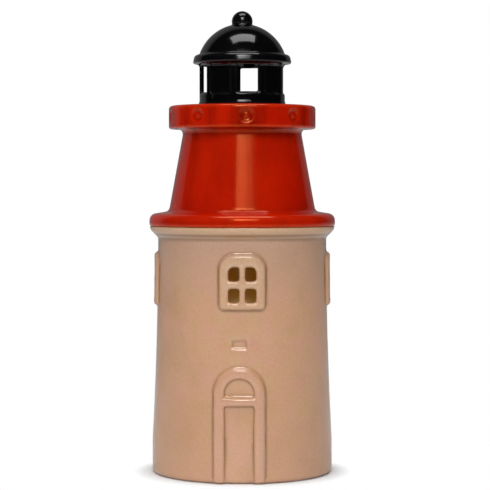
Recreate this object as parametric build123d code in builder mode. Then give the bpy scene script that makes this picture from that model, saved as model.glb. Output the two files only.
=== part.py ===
import os
from math import hypot

from build123d import *

os.makedirs("parts", exist_ok=True)

# Driving dimensions in millimetres: Z is up from the table, the door faces -Y

# Tower, the cream lower casting
tower_height = 149.3
base_radius = 54.6
foot_band = 20.0  # straight band above the table
band_blend = 60.0  # radius of the easy turn from the band into the side
foot_round = 2.5
side_hollow = 0.75  # how far the side curves in from a straight taper
cornice_step = 1.5  # past the foot band
cornice_overhang = 5.05  # past the neck
cornice_lip = 2.0  # upright edge at the top of the cornice
cornice_round = 4.5
neck_cove = 1.2
tower_wall = 5.0
tower_floor = 5.0
foot_recess = 2.5  # hollow under the floor
foot_ring = 6.0  # width of the ring that stands on the table
chamber_round = 4.0

# Tower windows: raised frames, four pierced panes each
window_count = 3
window_sill = 101.6
window_width = 26.6
window_height = 31.7
window_head_round = 9.0
window_foot_round = 2.4
window_relief = 2.2
pane_width = 6.3
pane_height = 8.2
pane_round = 0.7
sash_head_round = 3.2
mullion = 3.5
transom = 4.3
pane_rise = 4.0  # frame below the lower panes
relief_round = 1.3  # soft edge of every raised frame

# Door in relief at the foot, and the sunk plaque above it
door_phase = -1.9  # degrees from the front towards +X
door_width = 17.7
door_height = 45.3
door_jamb = 5.9
door_transom = 4.7
fanlight_spring = 2.5  # upright sides of the fanlight below its arch
door_relief = 1.8
door_sunk = 0.8
plaque_width = 10.2
plaque_height = 5.8
plaque_sill = 78.5
plaque_round = 0.8
plaque_sunk = 1.0

# Gallery lid, the red casting that covers the mouth
lid_clearance = 0.6
ring_depth = 8.0
ring_wall = 4.0
flange_overhang = 0.25  # past the cornice
flange_edge = 7.0  # height of the upright edge
flange_crown = 1.8  # rise of its top from the edge to the cone
flange_round = 4.2
flange_ledge = 11.85  # from the upright edge to the foot of the cone
cone_top_radius = 35.45
cone_height = 49.8
cone_cove = 3.0
lid_wall = 4.5
gallery_overhang = 9.05  # past the top of the cone
gallery_height = 14.0
gallery_round = 2.0
deck_thickness = 4.5
deck_opening = 20.5
edge_round = 0.8  # soft edge of every rim and lip
roundel_count = 9
roundel_phase = 3.2  # degrees from the front towards +X
roundel_radius = 4.7
roundel_depth = 1.5
roundel_rise = 7.2  # centre above the underside of the gallery
boss_radius = 4.0
boss_height = 0.9

# Lantern, the black casting on the deck
spigot_clearance = 0.5
spigot_depth = 4.0
spigot_wall = 3.0
lantern_radius = 25.9
lantern_foot_step = 0.4  # foot past the wall
lantern_foot_height = 2.0
lantern_wall = 2.6
lantern_floor = 2.6
lantern_height = 25.45  # deck to the underside of the brim
brim_overhang = 4.05  # past the wall
brim_thickness = 5.5
brim_draft = 1.0
brim_round = 2.8
brim_cove = 2.4
brim_ledge = 2.9  # flat top outside the dome
dome_drop = 8.75  # centre of the dome below the top of the brim
dome_wall = 3.0
ball_radius = 6.35
ball_sink = 5.0  # how far the ball reaches into the dome
bay_count = 9
bay_phase = 8.2
bay_width = 12.0
bay_rise = 7.9  # sill of the bays above the deck
bay_head = 1.25  # from the head of the bays to the brim
bay_round = 0.8
rebate_width = 1.0
rebate_depth = 0.8
blind_depth = 1.5
open_bays = (0, 2, 4, 6, 7)
blind_bays = (1, 3, 5, 8)

# Tea light
cup_radius = 18.7
cup_height = 16.0
cup_wall = 0.4
cup_round = 1.4
cup_bead = 0.5
seat_clearance = 0.8
seat_depth = 1.5
wax_depth = 13.0
wick_radius = 0.8
wick_stand = 9.0  # wick above the wax
tab_radius = 6.0
tab_thickness = 0.4
collar_wall = 0.5
collar_height = 2.6

# Levels and radii that follow
cornice_radius = base_radius + cornice_step
neck_radius = cornice_radius - cornice_overhang
neck_level = tower_height - cornice_lip - cornice_overhang
side_top = neck_level - neck_cove
floor_level = foot_recess + tower_floor
chamber_radius = base_radius - tower_wall
mouth_radius = neck_radius - tower_wall
reach = base_radius + cornice_radius  # past every outer face
window_head = window_sill + window_height
sash_width = 2 * pane_width + mullion
sash_height = 2 * pane_height + transom
sash_middle = window_sill + pane_rise + sash_height / 2
fanlight_sill = door_height + door_transom
fanlight_top = fanlight_sill + fanlight_spring
ring_radius = mouth_radius - lid_clearance
flange_radius = cornice_radius + flange_overhang
cone_foot_radius = flange_radius - flange_ledge
gallery_radius = cone_top_radius + gallery_overhang
flange_top = tower_height + flange_edge
cone_foot = flange_top + flange_crown
gallery_level = cone_foot + cone_height
deck_level = gallery_level + gallery_height
deck_under = deck_level - deck_thickness
spigot_radius = deck_opening - spigot_clearance
brim_level = deck_level + lantern_height
brim_top = brim_level + brim_thickness
lantern_foot_radius = lantern_radius + lantern_foot_step
brim_radius = lantern_radius + brim_overhang
dome_foot = brim_radius - brim_draft - brim_ledge
dome_radius = hypot(dome_foot, dome_drop)
dome_crown = brim_top - dome_drop + dome_radius
bay_height = lantern_height - bay_rise - bay_head
bay_middle = deck_level + bay_rise + bay_height / 2
bay_pitch = 360 / bay_count
seat_level = floor_level - seat_depth
cup_inside = cup_radius - cup_wall
cup_floor = seat_level + cup_wall
tab_top = cup_floor + tab_thickness
collar_radius = wick_radius + collar_wall
collar_top = tab_top + collar_height
wax_top = cup_floor + wax_depth


def side_radius(level):
    share = min(max((level - foot_band) / (side_top - foot_band), 0), 1)
    taper = base_radius + (neck_radius - base_radius) * share
    return taper - 4 * side_hollow * share * (1 - share)


def tower_form(grow):
    # The tower's outer form as a plain solid, swollen by grow
    foot = base_radius + grow
    neck = neck_radius + grow
    cornice = cornice_radius + grow
    lip = tower_height - cornice_lip
    with BuildPart() as form:
        with BuildSketch(Plane.XZ) as outline:
            with BuildLine():
                band = FilletPolyline((0, 0), (foot, 0), (foot, foot_band), radius=foot_round)
                side = SagittaArc(band @ 1, (neck, side_top), side_hollow)
                head = FilletPolyline(
                    side @ 1, (neck, neck_level), (cornice, lip), (cornice, tower_height),
                    radius=[neck_cove, cornice_round],
                )
                Polyline(head @ 1, (0, tower_height), (0, 0))
            make_face()
            turn = outline.vertices().sort_by_distance((foot, foot_band))[0]
            fillet(turn, radius=band_blend)
        revolve(axis=Axis.Z)
    return form.part


def arch_outline(half_width, foot, spring):
    with BuildSketch() as arch:
        with BuildLine():
            Polyline((-half_width, spring), (-half_width, foot), (half_width, foot), (half_width, spring))
            ThreePointArc((half_width, spring), (0, spring + half_width), (-half_width, spring))
        make_face()
    return arch.sketch


def raised_edges(block, relief):
    # The edges of a relief block that lie on its outer face, without the smooth seams beside the band
    def stands_out(edge):
        spot = edge @ 0.5
        level_edge = abs((edge @ 0).Z - (edge @ 1).Z) < relief_round
        seam = level_edge and abs(spot.Z - foot_band) < band_blend / 10
        return not seam and hypot(spot.X, spot.Y) > side_radius(spot.Z) + 0.9 * relief

    return block.edges().filter_by(stands_out)


# Four panes, as prisms through the front wall
with BuildPart() as window_panes:
    with BuildSketch(Plane.XZ):
        with Locations((0, sash_middle)):
            with GridLocations(pane_width + mullion, pane_height + transom, 2, 2):
                RectangleRounded(pane_width, pane_height, pane_round)
        with BuildLine():
            sash_foot = sash_middle - sash_height / 2
            sash_head = sash_middle + sash_height / 2
            FilletPolyline(
                (-sash_width / 2, sash_foot), (sash_width / 2, sash_foot),
                (sash_width / 2, sash_head), (-sash_width / 2, sash_head),
                radius=[pane_round, pane_round, sash_head_round, sash_head_round], close=True,
            )
        make_face(mode=Mode.INTERSECT)
    extrude(amount=reach)

# Raised frame of the front window
with BuildPart() as window_frame:
    with BuildSketch(Plane.XZ):
        with BuildLine():
            FilletPolyline(
                (-window_width / 2, window_sill), (window_width / 2, window_sill),
                (window_width / 2, window_head), (-window_width / 2, window_head),
                radius=[window_foot_round, window_foot_round, window_head_round, window_head_round],
                close=True,
            )
        make_face()
    extrude(amount=reach)
    add(tower_form(window_relief), mode=Mode.INTERSECT)
    add(tower_form(-tower_wall / 2), mode=Mode.SUBTRACT)
    add(window_panes.part, mode=Mode.SUBTRACT)
    fillet(raised_edges(window_frame, window_relief), radius=relief_round)

# Raised door surround with its transom
with BuildPart() as door_surround:
    with BuildSketch(Plane.XZ):
        add(arch_outline(door_width / 2 + door_jamb, 0, fanlight_top))
        add(arch_outline(door_width / 2, fanlight_sill, fanlight_top), mode=Mode.SUBTRACT)
        with Locations((0, door_height / 2)):
            Rectangle(door_width, door_height, mode=Mode.SUBTRACT)
    extrude(amount=reach)
    add(tower_form(door_relief), mode=Mode.INTERSECT)
    add(tower_form(-tower_wall / 2), mode=Mode.SUBTRACT)
    fillet(raised_edges(door_surround, door_relief), radius=relief_round)

# Sunk door leaf, fanlight and plaque
with BuildPart() as sunk_panels:
    with BuildSketch(Plane.XZ):
        add(arch_outline(door_width / 2, fanlight_sill, fanlight_top))
        with Locations((0, door_height / 2)):
            Rectangle(door_width, door_height)
    extrude(amount=reach)
    add(tower_form(-door_sunk), mode=Mode.SUBTRACT)

with BuildPart() as sunk_plaque:
    with BuildSketch(Plane.XZ):
        with Locations((0, plaque_sill + plaque_height / 2)):
            RectangleRounded(plaque_width, plaque_height, plaque_round)
    extrude(amount=reach)
    add(tower_form(-plaque_sunk), mode=Mode.SUBTRACT)

with BuildPart() as tower:
    add(tower_form(0))
    # Chamber for the candle
    with BuildSketch(Plane.XZ):
        with BuildLine():
            low = FilletPolyline(
                (0, floor_level), (chamber_radius, floor_level), (chamber_radius, foot_band),
                radius=chamber_round,
            )
            inside = SagittaArc(low @ 1, (mouth_radius, side_top), side_hollow)
            Polyline(inside @ 1, (mouth_radius, tower_height), (0, tower_height), (0, floor_level))
        make_face()
    revolve(axis=Axis.Z, mode=Mode.SUBTRACT)
    # Seat for the tea light, and the hollow under the foot
    with Locations((0, 0, seat_level)):
        Cylinder(cup_radius + seat_clearance, seat_depth, align=(Align.CENTER, Align.CENTER, Align.MIN),
                 mode=Mode.SUBTRACT)
    Cylinder(base_radius - foot_round - foot_ring, foot_recess,
             align=(Align.CENTER, Align.CENTER, Align.MIN), mode=Mode.SUBTRACT)
    # Windows to the front and both sides
    with PolarLocations(0, window_count, start_angle=-90, angular_range=180, endpoint=True):
        add(window_panes.part, mode=Mode.SUBTRACT)
        add(window_frame.part)
    with Locations(Location((0, 0, 0), (0, 0, door_phase))):
        add(sunk_panels.part, mode=Mode.SUBTRACT)
        add(sunk_plaque.part, mode=Mode.SUBTRACT)
        add(door_surround.part)
tower.part.label = "tower"
export_step(tower.part, "parts/tower.step")

# A dish in the front of the gallery, which leaves a low boss in its middle
with BuildPart() as roundel_cut:
    dish = (roundel_radius**2 + roundel_depth**2) / (2 * roundel_depth)
    roundel_level = gallery_level + roundel_rise
    with Locations((0, roundel_depth - gallery_radius - dish, roundel_level)):
        Sphere(dish)
    with Locations((0, roundel_depth + boss_radius - gallery_radius - boss_height, roundel_level)):
        Sphere(boss_radius, mode=Mode.SUBTRACT)

with BuildPart() as gallery_lid:
    ring_foot = tower_height - ring_depth
    ring_bore = ring_radius - ring_wall
    with BuildSketch(Plane.XZ):
        with BuildLine():
            FilletPolyline(
                (ring_bore, ring_foot), (ring_radius, ring_foot), (ring_radius, tower_height),
                (flange_radius, tower_height), (flange_radius, flange_top), (cone_foot_radius, cone_foot),
                (cone_top_radius, gallery_level), (gallery_radius, gallery_level),
                (gallery_radius, deck_level), (deck_opening, deck_level), (deck_opening, deck_under),
                (cone_top_radius - lid_wall, deck_under), (cone_foot_radius - lid_wall, cone_foot),
                (ring_bore, tower_height),
                radius=[
                    edge_round, edge_round, 0,
                    edge_round, flange_round, cone_cove,
                    cone_cove, edge_round,
                    gallery_round, edge_round, edge_round,
                    cone_cove, 0,
                    0,
                ],
                close=True,
            )
        make_face()
    revolve(axis=Axis.Z)
    # Dished roundels round the gallery
    with PolarLocations(0, roundel_count, start_angle=roundel_phase):
        add(roundel_cut.part, mode=Mode.SUBTRACT)
gallery_lid.part.label = "gallery_lid"
export_step(gallery_lid.part, "parts/gallery_lid.step")


def bay_cutter(grow, core):
    # A bay facing -Y, larger by grow all round, cut back to a core radius
    with BuildPart() as cutter:
        with BuildSketch(Plane.XZ):
            with Locations((0, bay_middle)):
                RectangleRounded(bay_width + 2 * grow, bay_height + 2 * grow, bay_round)
        extrude(amount=brim_radius)
        with Locations((0, 0, bay_middle)):
            Cylinder(core, lantern_height, mode=Mode.SUBTRACT)
    return cutter.part


with BuildPart() as lantern:
    spigot_foot = deck_level - spigot_depth
    spigot_bore = spigot_radius - spigot_wall
    foot_top = deck_level + lantern_foot_height
    shoulder = foot_top + lantern_foot_radius - lantern_radius
    with BuildSketch(Plane.XZ):
        with BuildLine():
            wall = FilletPolyline(
                (0, spigot_foot), (spigot_radius, spigot_foot), (spigot_radius, deck_level),
                (lantern_foot_radius, deck_level), (lantern_foot_radius, foot_top),
                (lantern_radius, shoulder), (lantern_radius, brim_level), (brim_radius, brim_level),
                (brim_radius - brim_draft, brim_top), (dome_foot, brim_top),
                radius=[
                    edge_round, 0,
                    edge_round, edge_round / 2,
                    edge_round / 2, brim_cove, edge_round,
                    brim_round,
                ],
            )
            dome = RadiusArc(wall @ 1, (0, dome_crown), -dome_radius)
            Line(dome @ 1, wall @ 0)
        make_face()
    revolve(axis=Axis.Z)
    # Hollow of the room and the dome
    room_radius = lantern_radius - lantern_wall
    room_floor = deck_level + lantern_floor
    room_crown = dome_crown - dome_wall
    vault_rise = room_crown - brim_level
    vault_radius = (room_radius**2 + vault_rise**2) / (2 * vault_rise)
    with BuildSketch(Plane.XZ):
        with BuildLine():
            room = Polyline((0, room_floor), (room_radius, room_floor), (room_radius, brim_level))
            vault = RadiusArc(room @ 1, (0, room_crown), -vault_radius)
            Line(vault @ 1, room @ 0)
        make_face()
    revolve(axis=Axis.Z, mode=Mode.SUBTRACT)
    with Locations((0, 0, spigot_foot)):
        Cylinder(spigot_bore, spigot_depth + lantern_floor,
                 align=(Align.CENTER, Align.CENTER, Align.MIN), mode=Mode.SUBTRACT)
    # Ball on the dome
    with Locations((0, 0, dome_crown + ball_radius - ball_sink)):
        Sphere(ball_radius)
    # Window bays, some pierced and some blind
    with PolarLocations(0, bay_count, start_angle=bay_phase):
        add(bay_cutter(rebate_width, lantern_radius - rebate_depth), mode=Mode.SUBTRACT)
    with Locations(*[Location((0, 0, 0), (0, 0, bay_phase + bay * bay_pitch)) for bay in open_bays]):
        add(bay_cutter(0, lantern_radius - 2 * lantern_wall), mode=Mode.SUBTRACT)
    with Locations(*[Location((0, 0, 0), (0, 0, bay_phase + bay * bay_pitch)) for bay in blind_bays]):
        add(bay_cutter(0, lantern_radius - blind_depth), mode=Mode.SUBTRACT)
lantern.part.label = "lantern"
export_step(lantern.part, "parts/lantern.step")

with BuildPart() as tealight_cup:
    cup_top = seat_level + cup_height
    with BuildSketch(Plane.XZ):
        with BuildLine():
            FilletPolyline(
                (0, seat_level), (cup_radius, seat_level), (cup_radius, cup_top), (cup_inside, cup_top),
                (cup_inside, cup_floor), (0, cup_floor),
                radius=[0, cup_round, 0, 0, cup_round - cup_wall, 0], close=True,
            )
        make_face()
        with Locations((cup_radius, cup_top)):
            Circle(cup_bead)
    revolve(axis=Axis.Z)
tealight_cup.part.label = "tealight_cup"
export_step(tealight_cup.part, "parts/tealight_cup.step")

with BuildPart() as wick_tab:
    with BuildSketch(Plane.XZ):
        with BuildLine():
            Polyline(
                (0, cup_floor), (tab_radius, cup_floor), (tab_radius, tab_top), (collar_radius, tab_top),
                (collar_radius, collar_top), (wick_radius, collar_top), (wick_radius, tab_top),
                (0, tab_top), (0, cup_floor),
            )
        make_face()
    revolve(axis=Axis.Z)
wick_tab.part.label = "wick_tab"
export_step(wick_tab.part, "parts/wick_tab.step")

with BuildPart() as wick:
    with Locations((0, 0, tab_top)):
        Cylinder(wick_radius, wax_top - tab_top + wick_stand,
                 align=(Align.CENTER, Align.CENTER, Align.MIN))
wick.part.label = "wick"
export_step(wick.part, "parts/wick.step")

with BuildPart() as candle_wax:
    with BuildSketch(Plane.XZ):
        with BuildLine():
            FilletPolyline(
                (tab_radius, cup_floor), (cup_inside, cup_floor), (cup_inside, wax_top),
                (wick_radius, wax_top), (wick_radius, collar_top), (collar_radius, collar_top),
                (collar_radius, tab_top), (tab_radius, tab_top),
                radius=[0, cup_round - cup_wall, 0, 0, 0, 0, 0, 0], close=True,
            )
        make_face()
    revolve(axis=Axis.Z)
candle_wax.part.label = "candle_wax"
export_step(candle_wax.part, "parts/candle_wax.step")
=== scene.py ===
import math

import bpy
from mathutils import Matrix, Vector


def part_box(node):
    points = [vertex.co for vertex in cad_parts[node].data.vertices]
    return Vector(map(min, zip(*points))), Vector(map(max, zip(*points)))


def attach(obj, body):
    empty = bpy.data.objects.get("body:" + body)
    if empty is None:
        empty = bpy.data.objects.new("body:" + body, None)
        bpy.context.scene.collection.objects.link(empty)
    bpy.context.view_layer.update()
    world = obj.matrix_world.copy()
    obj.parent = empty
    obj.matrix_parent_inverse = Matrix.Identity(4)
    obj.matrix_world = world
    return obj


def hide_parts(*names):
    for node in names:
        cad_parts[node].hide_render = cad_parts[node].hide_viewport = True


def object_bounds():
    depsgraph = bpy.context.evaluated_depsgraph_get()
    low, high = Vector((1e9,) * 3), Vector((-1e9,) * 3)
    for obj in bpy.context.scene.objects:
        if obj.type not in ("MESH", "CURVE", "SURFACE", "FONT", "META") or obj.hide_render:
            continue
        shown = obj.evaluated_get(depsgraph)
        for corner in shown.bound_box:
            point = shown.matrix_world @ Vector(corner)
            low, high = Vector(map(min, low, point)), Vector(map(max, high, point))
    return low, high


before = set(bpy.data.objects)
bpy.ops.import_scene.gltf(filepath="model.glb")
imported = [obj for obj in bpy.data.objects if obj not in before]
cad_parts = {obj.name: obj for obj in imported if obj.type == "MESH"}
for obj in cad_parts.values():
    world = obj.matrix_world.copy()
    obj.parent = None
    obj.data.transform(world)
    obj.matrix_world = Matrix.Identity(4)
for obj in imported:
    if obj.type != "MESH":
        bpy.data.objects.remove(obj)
cadLow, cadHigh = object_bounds()
print("frame loaded:", ", ".join(sorted(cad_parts)))


# small helpers for working by hand in object and edit mode

def selectOnly(obj):
    bpy.ops.object.select_all(action="DESELECT")
    obj.select_set(True)
    bpy.context.view_layer.objects.active = obj


def applyModifiers(obj):
    selectOnly(obj)
    for name in [modifier.name for modifier in obj.modifiers]:
        bpy.ops.object.modifier_apply(modifier=name)


def addSmooth(obj, name, steps):
    smooth = obj.modifiers.new(name, "SMOOTH")
    smooth.factor = 0.5
    smooth.iterations = steps
    return smooth


def settle(obj, name, body, node, material):
    # freeze the place into the mesh, dress the piece and let it ride
    selectOnly(obj)
    bpy.ops.object.transform_apply(location=True, rotation=True, scale=True)
    obj.name = name
    obj.data.name = name
    obj.data.materials.clear()
    obj.data.materials.append(material)
    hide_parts(node)
    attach(obj, body)
    obj.data.calc_loop_triangles()
    print(name, "has", len(obj.data.loop_triangles), "triangles")


# shader helpers

def newMaterial(name):
    material = bpy.data.materials.new(name)
    material.use_nodes = True
    tree = material.node_tree
    return material, tree, tree.nodes["Principled BSDF"]


def opaque(colour):
    return (*colour, 1.0)


def plug(tree, value, socket):
    # another node's output is linked, a plain value is set
    if isinstance(value, bpy.types.NodeSocket):
        tree.links.new(value, socket)
    else:
        socket.default_value = value


def mixColour(tree, mask, under, over):
    node = tree.nodes.new("ShaderNodeMix")
    node.data_type = "RGBA"
    plug(tree, mask, node.inputs[0])
    plug(tree, opaque(under) if isinstance(under, tuple) else under, node.inputs[6])
    plug(tree, opaque(over), node.inputs[7])
    return node.outputs[2]


def mapRange(tree, value, edges, levels):
    node = tree.nodes.new("ShaderNodeMapRange")
    tree.links.new(value, node.inputs["Value"])
    node.inputs["From Min"].default_value, node.inputs["From Max"].default_value = edges
    node.inputs["To Min"].default_value, node.inputs["To Max"].default_value = levels
    return node.outputs["Result"]


def fadeIn(tree, value, edges, share=1.0):
    return mapRange(tree, value, edges, (0.0, share))


def fadeOut(tree, value, edges, share=1.0):
    return mapRange(tree, value, edges, (share, 0.0))


def scalar(tree, operation, *values):
    node = tree.nodes.new("ShaderNodeMath")
    node.operation = operation
    for number, value in enumerate(values):
        plug(tree, value, node.inputs[number])
    return node.outputs[0]


def product(tree, first, *others):
    for other in others:
        first = scalar(tree, "MULTIPLY", first, other)
    return first


def noise(tree, coords, scale, detail, rough=0.5):
    node = tree.nodes.new("ShaderNodeTexNoise")
    tree.links.new(coords, node.inputs["Vector"])
    plug(tree, scale, node.inputs["Scale"])
    node.inputs["Detail"].default_value = detail
    node.inputs["Roughness"].default_value = rough
    return node.outputs["Fac"]


def objectCoords(tree):
    return tree.nodes.new("ShaderNodeTexCoord").outputs["Object"]


def splitAxes(tree, vector):
    node = tree.nodes.new("ShaderNodeSeparateXYZ")
    tree.links.new(vector, node.inputs[0])
    return node.outputs["X"], node.outputs["Y"], node.outputs["Z"]


def stretch(tree, vector, factors):
    node = tree.nodes.new("ShaderNodeVectorMath")
    node.operation = "MULTIPLY"
    tree.links.new(vector, node.inputs[0])
    node.inputs[1].default_value = factors
    return node.outputs[0]


def lengthOf(tree, vector):
    node = tree.nodes.new("ShaderNodeVectorMath")
    node.operation = "LENGTH"
    tree.links.new(vector, node.inputs[0])
    return node.outputs["Value"]


def upward(tree):
    # how far a face looks up
    return splitAxes(tree, tree.nodes.new("ShaderNodeNewGeometry").outputs["Normal"])[2]


def bump(tree, shader, height, strength, distance):
    node = tree.nodes.new("ShaderNodeBump")
    node.inputs["Strength"].default_value = strength
    node.inputs["Distance"].default_value = distance
    tree.links.new(height, node.inputs["Height"])
    tree.links.new(node.outputs["Normal"], shader.inputs["Normal"])


# node groups that the finishes share

flowLook = {
    "cloudDetail": 5.0, "cloudRough": 0.55, "cloudRange": (0.32, 0.68),
    "speckDetail": 2.0, "speckRange": (0.3, 0.7), "rippleDetail": 2.0,
}
edgeLook = {"thinHighlightRange": (0.505, 0.56), "poolShadeRange": (0.4985, 0.482)}


def newGroup(name, inputs, outputs):
    group = bpy.data.node_groups.new(name, "ShaderNodeTree")
    for label, value in inputs.items():
        socket = group.interface.new_socket(label, in_out="INPUT", socket_type="NodeSocketFloat")
        socket.default_value = value
    for label in outputs:
        group.interface.new_socket(label, in_out="OUTPUT", socket_type="NodeSocketFloat")
    start = group.nodes.new("NodeGroupInput")
    end = group.nodes.new("NodeGroupOutput")
    return group, start.outputs, end.inputs


def glazeFlowGroup():
    # cloudy patches, fine specks and the slow ripple of a poured glaze
    look = flowLook
    scales = {"Cloud Scale": 40.0, "Speck Scale": 900.0, "Ripple Scale": 60.0}
    group, start, end = newGroup("glazeFlow", scales, ("Cloud", "Speck", "Ripple"))
    coords = objectCoords(group)
    cloud = noise(group, coords, start["Cloud Scale"], look["cloudDetail"], look["cloudRough"])
    speck = noise(group, coords, start["Speck Scale"], look["speckDetail"])
    ripple = noise(group, coords, start["Ripple Scale"], look["rippleDetail"])
    group.links.new(fadeIn(group, cloud, look["cloudRange"]), end["Cloud"])
    group.links.new(fadeIn(group, speck, look["speckRange"]), end["Speck"])
    group.links.new(ripple, end["Ripple"])
    return group


def glazeEdgeGroup():
    # glaze runs thin on ridges and pools in corners; the paler ridges are partly a painted
    # highlight, the darker corners partly painted shade
    group, start, end = newGroup("glazeAndLightEdge", {"Pointiness": 0.5}, ("ThinAndHighlight", "PoolAndShade"))
    group.links.new(fadeIn(group, start["Pointiness"], edgeLook["thinHighlightRange"]), end["ThinAndHighlight"])
    group.links.new(fadeIn(group, start["Pointiness"], edgeLook["poolShadeRange"]), end["PoolAndShade"])
    return group


glazeFlow = glazeFlowGroup()
glazeAndLightEdge = glazeEdgeGroup()
print("glaze groups are ready")


def placeFlow(tree, scales):
    # scales of the cloud, the specks and the ripple
    node = tree.nodes.new("ShaderNodeGroup")
    node.node_tree = glazeFlow
    for name, scale in zip(("Cloud Scale", "Speck Scale", "Ripple Scale"), scales):
        node.inputs[name].default_value = scale
    return node.outputs


def placeEdge(tree):
    geometry = tree.nodes.new("ShaderNodeNewGeometry")
    node = tree.nodes.new("ShaderNodeGroup")
    node.node_tree = glazeAndLightEdge
    tree.links.new(geometry.outputs["Pointiness"], node.inputs["Pointiness"])
    return node.outputs


# glazes of the three castings

def fireGlaze(tree, shader, look, colour, grain, ripple):
    # gloss that changes with the grain, over a slow ripple
    tree.links.new(colour, shader.inputs["Base Color"])
    rough = mapRange(tree, grain, look["grainRange"], look["roughness"])
    tree.links.new(rough, shader.inputs["Roughness"])
    shader.inputs["IOR"].default_value = look["ior"]
    shader.inputs["Specular IOR Level"].default_value = look["gloss"]
    bump(tree, shader, ripple, *look["bump"])


# a reach is the radius at the foot that a point has once the taper is taken out
creamGlaze = {
    "pinkTan": (0.605, 0.315, 0.210), "yellowTan": (0.56, 0.335, 0.170),
    "brownTan": (0.465, 0.254, 0.130), "greyTan": (0.50, 0.315, 0.225),
    "footTan": (0.52, 0.268, 0.135), "raised": (0.61, 0.395, 0.23),
    "surround": (0.60, 0.325, 0.212), "poolAndShade": (0.28, 0.135, 0.05), "liner": (0.72, 0.40, 0.06),
    "flow": (95.0, 800.0, 45.0), "patches": (36.0, 2600.0, 90.0), "taper": 0.0296,
    "brownCloud": (0.45, 1.0), "brownShare": 0.55,
    "greyLevel": (0.100, 0.140), "greyShare": 0.75, "corniceReach": (0.0572, 0.0590),
    "raisedReach": (0.0562, 0.0569), "raisedShare": 0.6,
    "footLevel": (0.020, 0.075), "footShare": 0.5,
    "doorHalf": (0.0075, 0.011), "doorFront": (-0.03, -0.02), "doorTop": (0.070, 0.075),
    "surroundReach": (0.0553, 0.0560), "surroundShare": 0.65,
    "speckRange": (0.3, 1.0), "speckShare": 0.14,
    "sunkReach": (0.0541, 0.0548), "sunkShare": (0.1, 1.0), "aboveShare": 0.5,
    "litLedgeTilt": (0.05, 0.35), "litLedgeShare": (1.0, 0.1),
    "lipFrom": (0.1426, 0.1438), "lipTo": (0.1448, 0.1456), "lipShadeShare": 0.75,
    "linerReach": (0.0516, 0.0506),
    "grainRange": (0.3, 0.7), "roughness": (0.13, 0.19), "ior": 1.5, "gloss": 1.0,
    "bump": (0.25, 0.0006),
}


def makeCreamGlaze():
    material, tree, shader = newMaterial("creamGlaze")
    look = creamGlaze
    flow = placeFlow(tree, look["flow"])
    patches = placeFlow(tree, look["patches"])
    edge = placeEdge(tree)
    coords = objectCoords(tree)
    across, back, level = splitAxes(tree, coords)
    radius = lengthOf(tree, stretch(tree, coords, (1.0, 1.0, 0.0)))
    reach = scalar(tree, "MULTIPLY_ADD", level, look["taper"], radius)
    # mottled tan with brown patches, greyer towards the cornice and paler on the relief
    colour = mixColour(tree, flow["Cloud"], look["pinkTan"], look["yellowTan"])
    brown = fadeIn(tree, patches["Cloud"], look["brownCloud"], look["brownShare"])
    colour = mixColour(tree, brown, colour, look["brownTan"])
    grey = fadeIn(tree, level, look["greyLevel"], look["greyShare"])
    grey = product(tree, grey, fadeOut(tree, reach, look["corniceReach"]))
    colour = mixColour(tree, grey, colour, look["greyTan"])
    raised = fadeIn(tree, reach, look["raisedReach"], look["raisedShare"])
    colour = mixColour(tree, raised, colour, look["raised"])
    # warmer towards the foot, but not in the door
    beside = fadeIn(tree, scalar(tree, "ABSOLUTE", across), look["doorHalf"])
    beside = scalar(tree, "MAXIMUM", beside, fadeIn(tree, back, look["doorFront"]))
    warm = fadeOut(tree, level, look["footLevel"], look["footShare"])
    colour = mixColour(tree, product(tree, warm, beside), colour, look["footTan"])
    surround = fadeIn(tree, reach, look["surroundReach"], look["surroundShare"])
    surround = product(tree, surround, fadeOut(tree, level, look["doorTop"]))
    colour = mixColour(tree, surround, colour, look["surround"])
    speckle = fadeIn(tree, flow["Speck"], look["speckRange"], look["speckShare"])
    colour = mixColour(tree, speckle, colour, look["poolAndShade"])
    # painted shade in corners and creases over the pooled glaze, less in the sunk door and on
    # ledges that face up to the light
    sunk = mapRange(tree, reach, look["sunkReach"], look["sunkShare"])
    above = fadeIn(tree, level, look["doorTop"], look["aboveShare"])
    litLedge = mapRange(tree, upward(tree), look["litLedgeTilt"], look["litLedgeShare"])
    poolAndShade = product(tree, edge["PoolAndShade"], scalar(tree, "MAXIMUM", sunk, above), litLedge)
    colour = mixColour(tree, poolAndShade, colour, look["poolAndShade"])
    # painted shade: a brown line runs under the lip of the cornice
    lipShade = product(tree, fadeIn(tree, level, look["lipFrom"]), fadeOut(tree, level, look["lipTo"]))
    lipShade = product(tree, lipShade, fadeIn(tree, reach, look["raisedReach"], look["lipShadeShare"]))
    colour = mixColour(tree, lipShade, colour, look["poolAndShade"])
    # amber liner inside, split from the outer glaze halfway through the wall
    colour = mixColour(tree, fadeIn(tree, reach, look["linerReach"]), colour, look["liner"])
    fireGlaze(tree, shader, look, colour, flow["Ripple"], flow["Ripple"])
    return material


redGlaze = {
    "deep": (0.395, 0.0058, 0.0002), "orange": (0.465, 0.0105, 0.0003),
    "thinAndHighlight": (0.58, 0.045, 0.008), "poolAndShade": (0.20, 0.003, 0.0004), "streak": (0.15, 0.003, 0.0003),
    "flow": (28.0, 500.0, 50.0), "thinHighlightShare": 0.7, "poolShadeShare": 0.4,
    "streakDraw": (1.0, 1.0, 0.12), "streakScale": 75.0, "streakDetail": 3.0,
    "streakRange": (0.45, 0.6), "galleryLevel": (0.200, 0.208), "streakShare": (0.2, 0.8),
    "deckTilt": (0.4, 0.8), "deckShare": (1.0, 0.1),
    "grainRange": (0.0, 1.0), "roughness": (0.10, 0.18), "ior": 1.5, "gloss": 0.85,
    "lustre": (1.0, 0.34, 0.11), "bump": (0.3, 0.0006),
}


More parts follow.
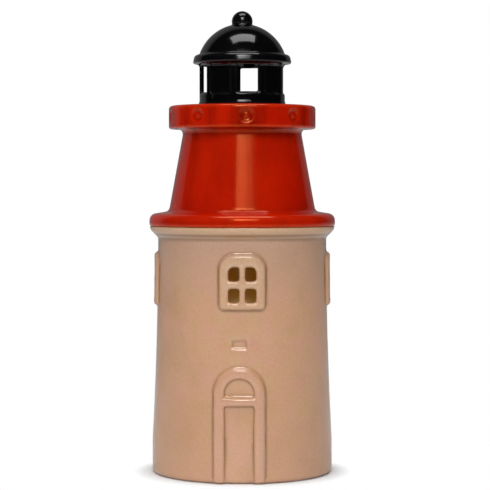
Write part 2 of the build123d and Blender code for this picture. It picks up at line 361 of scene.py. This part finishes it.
def makeRedGlaze():
    material, tree, shader = newMaterial("redGlaze")
    look = redGlaze
    flow = placeFlow(tree, look["flow"])
    edge = placeEdge(tree)
    coords = objectCoords(tree)
    colour = mixColour(tree, flow["Cloud"], look["deep"], look["orange"])
    # brown runs down the upright faces, strongest on the gallery
    drawn = stretch(tree, coords, look["streakDraw"])
    streak = noise(tree, drawn, look["streakScale"], look["streakDetail"])
    share = mapRange(tree, splitAxes(tree, coords)[2], look["galleryLevel"], look["streakShare"])
    upright = mapRange(tree, upward(tree), look["deckTilt"], look["deckShare"])
    streak = product(tree, fadeIn(tree, streak, look["streakRange"]), share, upright)
    colour = mixColour(tree, streak, colour, look["streak"])
    # paler on ridges where the glaze runs thin, partly a painted highlight; darker in corners
    # where it pools, partly painted shade
    thinAndHighlight = product(tree, edge["ThinAndHighlight"], look["thinHighlightShare"])
    colour = mixColour(tree, thinAndHighlight, colour, look["thinAndHighlight"])
    poolAndShade = product(tree, edge["PoolAndShade"], look["poolShadeShare"])
    colour = mixColour(tree, poolAndShade, colour, look["poolAndShade"])
    fireGlaze(tree, shader, look, colour, flow["Speck"], flow["Ripple"])
    shader.inputs["Specular Tint"].default_value = opaque(look["lustre"])
    return material


blackGlaze = {
    "deep": (0.0016, 0.0016, 0.0020), "thinAndHighlight": (0.016, 0.015, 0.015), "flow": (45.0, 600.0, 70.0),
    "grainRange": (0.3, 0.7), "roughness": (0.07, 0.13), "ior": 1.5, "gloss": 0.5,
    "bump": (0.3, 0.0005),
}


def makeBlackGlaze():
    material, tree, shader = newMaterial("blackGlaze")
    look = blackGlaze
    flow = placeFlow(tree, look["flow"])
    # paler on edges where the glaze runs thin, partly a painted highlight
    colour = mixColour(tree, placeEdge(tree)["ThinAndHighlight"], look["deep"], look["thinAndHighlight"])
    fireGlaze(tree, shader, look, colour, flow["Ripple"], flow["Ripple"])
    return material


# the three castings: a copy of each one, coated so that every edge goes soft

towerCasting = {
    "voxel": 0.0007, "soften": 2, "most": 195000, "body": "tower", "slot": "cream_glaze",
    "skin": {"reach": 0.0535, "taper": creamGlaze["taper"], "soften": 6},
}
lidCasting = {
    "voxel": 0.0007, "soften": 4, "most": 195000, "body": "gallery_lid", "slot": "red_glaze",
}
lanternCasting = {
    "voxel": 0.00042, "soften": 3, "most": 195000, "body": "lantern", "slot": "black_glaze",
}


def softenSkin(obj, skin):
    # the outside carries more glaze than the chamber, so its edges go softer
    outside = [point.index for point in obj.data.vertices
               if math.hypot(point.co.x, point.co.y) + skin["taper"] * point.co.z > skin["reach"]]
    obj.vertex_groups.new(name="skin").add(outside, 1.0, "REPLACE")
    addSmooth(obj, "glaze", skin["soften"]).vertex_group = "skin"
    applyModifiers(obj)
    obj.vertex_groups.clear()


def glazeCasting(node, look, material):
    obj = bpy.data.objects.new(node + "Glazed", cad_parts[node].data.copy())
    bpy.context.scene.collection.objects.link(obj)
    selectOnly(obj)
    bpy.ops.object.mode_set(mode="EDIT")
    bpy.ops.mesh.select_all(action="SELECT")
    bpy.ops.mesh.remove_doubles(threshold=1e-6)
    bpy.ops.object.mode_set(mode="OBJECT")
    coat = obj.modifiers.new("coat", "REMESH")
    coat.mode = "VOXEL"
    coat.voxel_size = look["voxel"]
    addSmooth(obj, "soften", look["soften"])
    applyModifiers(obj)
    if "skin" in look:
        softenSkin(obj, look["skin"])
    triangles = 2 * len(obj.data.polygons)
    if triangles > look["most"]:
        lighten = obj.modifiers.new("lighten", "DECIMATE")
        lighten.ratio = look["most"] / triangles
        applyModifiers(obj)
    bpy.ops.object.shade_smooth()
    settle(obj, node + "Glazed", look["body"], node, material)


glazeCasting("tower", towerCasting, makeCreamGlaze())
glazeCasting("gallery_lid", lidCasting, makeRedGlaze())
glazeCasting("lantern", lanternCasting, makeBlackGlaze())


# tea light: rings pulled up by hand, one piece after the other

def startRing(name, segments, radius, level, fill="NOTHING"):
    bpy.ops.object.select_all(action="DESELECT")
    bpy.ops.mesh.primitive_circle_add(
        vertices=segments, radius=radius, fill_type=fill, location=(0, 0, level))
    bpy.context.object.name = name
    bpy.ops.object.mode_set(mode="EDIT")
    bpy.ops.mesh.select_all(action="SELECT")
    return bpy.context.object


def pullProfile(radius, level, points):
    # follow a turned profile, each point being radius and level
    for nextRadius, nextLevel in points:
        grow = nextRadius / radius
        bpy.ops.mesh.extrude_region_move(
            TRANSFORM_OT_translate={"value": (0, 0, nextLevel - level)})
        bpy.ops.transform.resize(value=(grow, grow, 1))
        radius, level = nextRadius, nextLevel


def closeRing(obj, toPoint=True):
    # the last ring shrinks to a point, or already lies on the first one
    if toPoint:
        bpy.ops.mesh.merge(type="COLLAPSE")
    bpy.ops.mesh.select_all(action="SELECT")
    bpy.ops.mesh.remove_doubles(threshold=1e-6)
    bpy.ops.mesh.normals_make_consistent(inside=False)
    bpy.ops.object.mode_set(mode="OBJECT")
    selectOnly(obj)
    bpy.ops.object.shade_smooth_by_angle(angle=math.radians(50))


sheetMetal = {"flow": (160.0, 2400.0, 300.0), "bump": (0.15, 0.0002)}


def makeMetal(name, look):
    # pressed sheet with faint dents
    material, tree, shader = newMaterial(name)
    flow = placeFlow(tree, sheetMetal["flow"])
    shader.inputs["Base Color"].default_value = opaque(look["colour"])
    shader.inputs["Metallic"].default_value = 1.0
    rough = mapRange(tree, flow["Cloud"], (0.0, 1.0), look["roughness"])
    tree.links.new(rough, shader.inputs["Roughness"])
    bump(tree, shader, flow["Ripple"], *sheetMetal["bump"])
    return material


cupShape = {
    "pleats": 60, "pleatDepth": 0.00022, "pleatEnd": 0.13,
    "wall": 0.0003, "bead": 0.0005, "footRound": 0.0014,
    "colour": (0.86, 0.86, 0.87), "roughness": (0.2, 0.34),
}


def pressPleats(cup, low, high):
    # push every second column of the wall inwards, but not its ends
    columns = 2 * cupShape["pleats"]
    middle = 0.5 * (low + high)
    half = middle - low
    for point in cup.data.vertices:
        column = round(math.atan2(point.co.y, point.co.x) * columns / (2 * math.pi))
        if column % 2 and abs(point.co.z - middle) < (1 - cupShape["pleatEnd"]) * half:
            press = 1 - cupShape["pleatDepth"] / math.hypot(point.co.x, point.co.y)
            point.co.x *= press
            point.co.y *= press


def makeCup():
    low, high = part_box("tealight_cup")
    bead = cupShape["bead"]
    bend = cupShape["footRound"]
    outer = high.x - bead
    inner = outer - cupShape["wall"]
    foot = outer - bend
    floor = low.z + cupShape["wall"]
    rim = high.z - bead
    lowEnd = low.z + bend
    highEnd = rim - bead
    lowPleat = lowEnd + cupShape["pleatEnd"] * (highEnd - lowEnd)
    highPleat = highEnd - cupShape["pleatEnd"] * (highEnd - lowEnd)
    cup = startRing("cup", 2 * cupShape["pleats"], foot, low.z, "NGON")
    # round foot, pleated wall, rolled bead, then down the inside
    pullProfile(foot, low.z, [
        (foot + 0.5 * bend, low.z + 0.13 * bend), (foot + 0.87 * bend, low.z + 0.5 * bend),
        (outer, lowEnd), (outer, lowPleat), (outer, highPleat), (outer, highEnd),
        (outer + 0.87 * bead, rim - 0.5 * bead), (high.x, rim),
        (outer + 0.7 * bead, rim + 0.7 * bead), (outer, high.z), (inner, rim + 0.5 * bead),
        (inner, highEnd), (inner, highPleat), (inner, lowPleat), (inner, lowEnd),
        (foot, floor), (0.5 * foot, floor), (0.02 * foot, floor),
    ])
    closeRing(cup)
    pressPleats(cup, lowEnd, highEnd)
    look = makeMetal("cupAluminium", cupShape)
    settle(cup, "cupPressed", "tealight", "tealight_cup", look)


tabShape = {
    "segments": 48, "sheet": 0.0005, "lip": 0.0002, "flare": 0.0006,
    "crimp": 0.86, "crimpLevels": (0.0014, 0.0018),
    "colour": (0.62, 0.61, 0.58), "roughness": (0.26, 0.4),
}


def makeTab():
    low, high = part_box("wick_tab")
    wickLow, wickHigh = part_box("wick")
    plate = wickLow.z
    collar = wickHigh.x + tabShape["sheet"]
    waist = tabShape["crimp"] * collar
    lip = tabShape["lip"]
    tab = startRing("tab", tabShape["segments"], high.x - lip, low.z, "NGON")
    # flat plate, flared collar, crimp, and the hole that the wick stands in
    pullProfile(high.x - lip, low.z, [
        (high.x, low.z + 0.5 * lip), (high.x, plate - 0.5 * lip), (high.x - lip, plate),
        (2 * collar, plate), (1.3 * collar, plate + lip), (collar, plate + tabShape["flare"]),
        *((waist, plate + level) for level in tabShape["crimpLevels"]),
        (collar, high.z - lip), (0.93 * collar, high.z),
        (wickHigh.x, high.z - lip), (0.5 * wickHigh.x, high.z - lip),
    ])
    closeRing(tab)
    look = makeMetal("tabTinplate", tabShape)
    settle(tab, "tabCrimped", "tealight", "wick_tab", look)


waxShape = {
    "segments": 96, "gap": 0.0001, "creep": 0.0006, "dish": 0.0005, "footRound": 0.001,
    "white": (0.88, 0.85, 0.78), "cream": (0.84, 0.81, 0.73), "flow": (120.0, 900.0, 140.0),
    "roughness": 0.42, "bump": (0.3, 0.0003),
    "depthShare": 0.35, "depthRadius": (1.0, 0.8, 0.6), "depthScale": 0.003,
}


def makeWhiteWax():
    material, tree, shader = newMaterial("whiteWax")
    flow = placeFlow(tree, waxShape["flow"])
    colour = mixColour(tree, flow["Cloud"], waxShape["white"], waxShape["cream"])
    tree.links.new(colour, shader.inputs["Base Color"])
    shader.inputs["Roughness"].default_value = waxShape["roughness"]
    shader.inputs["Subsurface Weight"].default_value = waxShape["depthShare"]
    shader.inputs["Subsurface Radius"].default_value = waxShape["depthRadius"]
    shader.inputs["Subsurface Scale"].default_value = waxShape["depthScale"]
    bump(tree, shader, flow["Ripple"], *waxShape["bump"])
    return material


def makeWax():
    low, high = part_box("candle_wax")
    wickLow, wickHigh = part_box("wick")
    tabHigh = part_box("wick_tab")[1]
    gap = waxShape["gap"]
    dish = waxShape["dish"]
    creep = waxShape["creep"]
    bend = waxShape["footRound"]
    rim = high.x - gap
    top = high.z
    floor = low.z + gap
    plate = wickLow.z + gap
    room = tabHigh.x + gap
    roof = tabHigh.z + gap
    core = 0.5 * wickHigh.x
    collar = wickHigh.x + tabShape["sheet"] + gap
    # the wax creeps up the cup and the wick, dips between them, and leaves room for the tab
    wax = startRing("wax", waxShape["segments"], room, floor)
    pullProfile(room, floor, [
        (rim - bend, floor), (rim, floor + bend), (rim, top),
        (rim - 0.5 * creep, top - 0.3 * creep), (rim - 2 * creep, top - dish),
        (0.6 * rim, top - 1.2 * dish), (0.3 * rim, top - 1.2 * dish),
        (3 * wickHigh.x, top - dish), (1.6 * wickHigh.x, top - 0.3 * dish), (wickHigh.x, top),
        (core, top), (core, roof), (collar, roof), (collar, plate + tabShape["flare"]),
        (2 * collar, plate), (room, plate), (room, floor),
    ])
    closeRing(wax, toPoint=False)
    settle(wax, "waxPoured", "tealight", "candle_wax", makeWhiteWax())


wickShape = {
    "strands": 3, "segments": 12, "share": 0.54, "steps": 30, "turns": 2.5,
    "pale": (0.86, 0.83, 0.75), "dull": (0.70, 0.66, 0.57), "flow": (900.0, 5200.0, 3000.0),
    "roughness": 0.85, "sheen": 0.3, "bump": (0.6, 0.0001),
}


def makeCotton():
    material, tree, shader = newMaterial("wickCotton")
    flow = placeFlow(tree, wickShape["flow"])
    colour = mixColour(tree, flow["Speck"], wickShape["pale"], wickShape["dull"])
    tree.links.new(colour, shader.inputs["Base Color"])
    shader.inputs["Roughness"].default_value = wickShape["roughness"]
    shader.inputs["Sheen Weight"].default_value = wickShape["sheen"]
    bump(tree, shader, flow["Ripple"], *wickShape["bump"])
    return material


def makeWick():
    low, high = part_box("wick")
    strand = high.x * wickShape["share"]
    arm = high.x - strand
    wick = startRing("wick", wickShape["segments"], strand, low.z, "NGON")
    bpy.ops.transform.translate(value=(arm, 0, 0))
    for number in range(1, wickShape["strands"]):
        angle = 2 * math.pi * number / wickShape["strands"]
        bpy.ops.mesh.primitive_circle_add(
            vertices=wickShape["segments"], radius=strand, fill_type="NGON",
            location=(arm * math.cos(angle), arm * math.sin(angle), low.z))
    bpy.ops.mesh.select_all(action="SELECT")
    rise = (high.z - low.z) / wickShape["steps"]
    twist = 2 * math.pi * wickShape["turns"] / wickShape["steps"]
    for step in range(wickShape["steps"]):
        bpy.ops.mesh.extrude_region_move(TRANSFORM_OT_translate={"value": (0, 0, rise)})
        bpy.ops.transform.rotate(value=twist, orient_axis="Z", center_override=(0, 0, 0))
    closeRing(wick)
    settle(wick, "wickTwisted", "tealight", "wick", makeCotton())


makeCup()
makeWax()
makeTab()
makeWick()


# studio: pale floor, soft boxes and a white surround

floorPaper = {
    "size": 8.0, "drop": 0.0003, "colour": (0.82, 0.82, 0.82),
    "glow": 0.05, "fade": (0.0545, 0.066),
}


def makeFloor():
    # paper that keeps the contact shadow and fades to plain white away from the foot
    bpy.ops.object.select_all(action="DESELECT")
    bpy.ops.mesh.primitive_plane_add(
        size=floorPaper["size"], location=(0, 0, cadLow.z - floorPaper["drop"]))
    floor = bpy.context.object
    floor.name = "floor"
    material, tree, shader = newMaterial("floorPaper")
    shader.inputs["Base Color"].default_value = opaque(floorPaper["colour"])
    shader.inputs["Roughness"].default_value = 1.0
    shader.inputs["Specular IOR Level"].default_value = 0.0
    seen = tree.nodes.new("ShaderNodeLightPath").outputs["Is Camera Ray"]
    glow = tree.nodes.new("ShaderNodeEmission")
    tree.links.new(product(tree, seen, floorPaper["glow"]), glow.inputs["Strength"])
    both = tree.nodes.new("ShaderNodeAddShader")
    tree.links.new(shader.outputs[0], both.inputs[0])
    tree.links.new(glow.outputs[0], both.inputs[1])
    plain = tree.nodes.new("ShaderNodeEmission")
    fade = fadeIn(tree, lengthOf(tree, objectCoords(tree)), floorPaper["fade"])
    mix = tree.nodes.new("ShaderNodeMixShader")
    tree.links.new(product(tree, seen, fade), mix.inputs[0])
    tree.links.new(both.outputs[0], mix.inputs[1])
    tree.links.new(plain.outputs[0], mix.inputs[2])
    tree.links.new(mix.outputs[0], tree.nodes["Material Output"].inputs["Surface"])
    floor.data.materials.append(material)


whiteSurround = {
    "ambient": 0.30, "frontShare": -2.2, "leftShare": -0.9,
    "mirrorFront": 0.008, "mirrorPaper": 0.185,
    "paperEdge": (0.47, 0.60), "paperSkew": -0.12, "paperLeft": -0.4,
}


def mixShaders(tree, mask, first, second):
    node = tree.nodes.new("ShaderNodeMixShader")
    for number, source in enumerate((mask, first, second)):
        tree.links.new(source, node.inputs[number])
    return node.outputs[0]


def makeSurround():
    # diffuse light comes mostly from the front, mirrored light from the white paper behind
    world = bpy.data.worlds.new("surround")
    bpy.context.scene.world = world
    world.use_nodes = True
    tree = world.node_tree
    tree.nodes.clear()
    path = tree.nodes.new("ShaderNodeLightPath").outputs
    facing = tree.nodes.new("ShaderNodeTexCoord").outputs["Generated"]
    right, back = splitAxes(tree, facing)[:2]
    front = scalar(tree, "MULTIPLY_ADD", back, whiteSurround["frontShare"], 1.0)
    front = scalar(tree, "MULTIPLY_ADD", right, whiteSurround["leftShare"], front)
    ambient = product(tree, scalar(tree, "MAXIMUM", front, 0.0), whiteSurround["ambient"])
    reach = scalar(tree, "MULTIPLY_ADD", right, whiteSurround["paperSkew"], back)
    paper = fadeIn(tree, reach, whiteSurround["paperEdge"], whiteSurround["mirrorPaper"])
    tilt = scalar(tree, "MULTIPLY_ADD", right, whiteSurround["paperLeft"], 1.0)
    mirrored = scalar(tree, "MULTIPLY_ADD", paper, tilt, whiteSurround["mirrorFront"])
    lights = []
    for strength in (ambient, mirrored, 1.0):
        shader = tree.nodes.new("ShaderNodeBackground")
        shader.inputs["Color"].default_value = (1.0, 1.0, 1.0, 1.0)
        plug(tree, strength, shader.inputs["Strength"])
        lights.append(shader.outputs[0])
    unseen = mixShaders(tree, path["Is Glossy Ray"], lights[0], lights[1])
    final = mixShaders(tree, path["Is Camera Ray"], unseen, lights[2])
    out = tree.nodes.new("ShaderNodeOutputWorld")
    tree.links.new(final, out.inputs["Surface"])


softBoxes = {
    "overhead": {
        "place": (0.02, -0.12, 1.30), "aim": (0, 0, 0.15), "size": (0.85, 0.47), "power": 5.4,
    },
    "front": {
        "place": (0.12, -1.37, 1.04), "aim": (0, 0, 0.18), "size": (0.86, 0.87), "power": 12.5,
        # edges and levels of the grading, across from the left and then upwards
        "across": [((0.0, 0.10), (0.1, 1.0)), ((0.35, 1.0), (1.0, 0.2))],
        "upwards": ((0.2, 0.5), (0.5, 1.7)),
    },
}
chamberLamp = {"level": 0.085, "radius": 0.012, "power": 0.0095, "colour": (1.0, 0.86, 0.45)}


def gradeLamp(data, box):
    # the soft box is brightest at its upper left
    data.use_nodes = True
    tree = data.node_tree
    place = tree.nodes.new("ShaderNodeNewGeometry").outputs["Parametric"]
    across, up = splitAxes(tree, place)[:2]
    level = mapRange(tree, up, *box["upwards"])
    for edges, levels in box["across"]:
        level = product(tree, level, mapRange(tree, across, edges, levels))
    tree.links.new(level, tree.nodes["Emission"].inputs["Strength"])


def addLamp(name, data, place):
    lamp = bpy.data.objects.new(name, data)
    bpy.context.scene.collection.objects.link(lamp)
    lamp.location = place
    return lamp


def makeLamps():
    for name, box in softBoxes.items():
        data = bpy.data.lights.new(name, "AREA")
        data.shape = "RECTANGLE"
        data.size, data.size_y = box["size"]
        data.energy = box["power"]
        if "across" in box:
            gradeLamp(data, box)
        lamp = addLamp(name, data, box["place"])
        sight = Vector(box["aim"]) - lamp.location
        lamp.rotation_euler = sight.to_track_quat("-Z", "Y").to_euler()
    # a trace of warm light behind the panes
    data = bpy.data.lights.new("chamber", "POINT")
    data.energy = chamberLamp["power"]
    data.color = chamberLamp["colour"]
    data.shadow_soft_size = chamberLamp["radius"]
    addLamp("chamber", data, (0, 0, chamberLamp["level"]))


# camera at the photograph's viewing angle, for a square picture of 490 pixels

photo = {
    "pixels": 490, "axisPixel": 242.2, "footPixel": 471.2, "metresPerPixel": 0.000608,
    "horizonPixel": 180.0, "distancePixels": 1891.0, "sensor": 36.0, "nearest": 0.01,
}


def makeCamera():
    data = bpy.data.cameras.new("camera")
    camera = bpy.data.objects.new("camera", data)
    bpy.context.scene.collection.objects.link(camera)
    scale = photo["metresPerPixel"]
    middle = photo["pixels"] / 2
    eye = (photo["footPixel"] - photo["horizonPixel"]) * scale
    camera.location = (0, -photo["distancePixels"] * scale, eye)
    aim = Vector((middle - photo["axisPixel"], 0, photo["footPixel"] - middle)) * scale
    camera.rotation_euler = (aim - camera.location).to_track_quat("-Z", "Y").to_euler()
    data.sensor_width = photo["sensor"]
    data.lens = photo["sensor"] * photo["distancePixels"] / photo["pixels"]
    data.clip_start = photo["nearest"]
    bpy.context.scene.camera = camera


makeFloor()
makeSurround()
makeLamps()
makeCamera()
bpy.context.scene.view_settings.view_transform = "Standard"
print("studio is set")
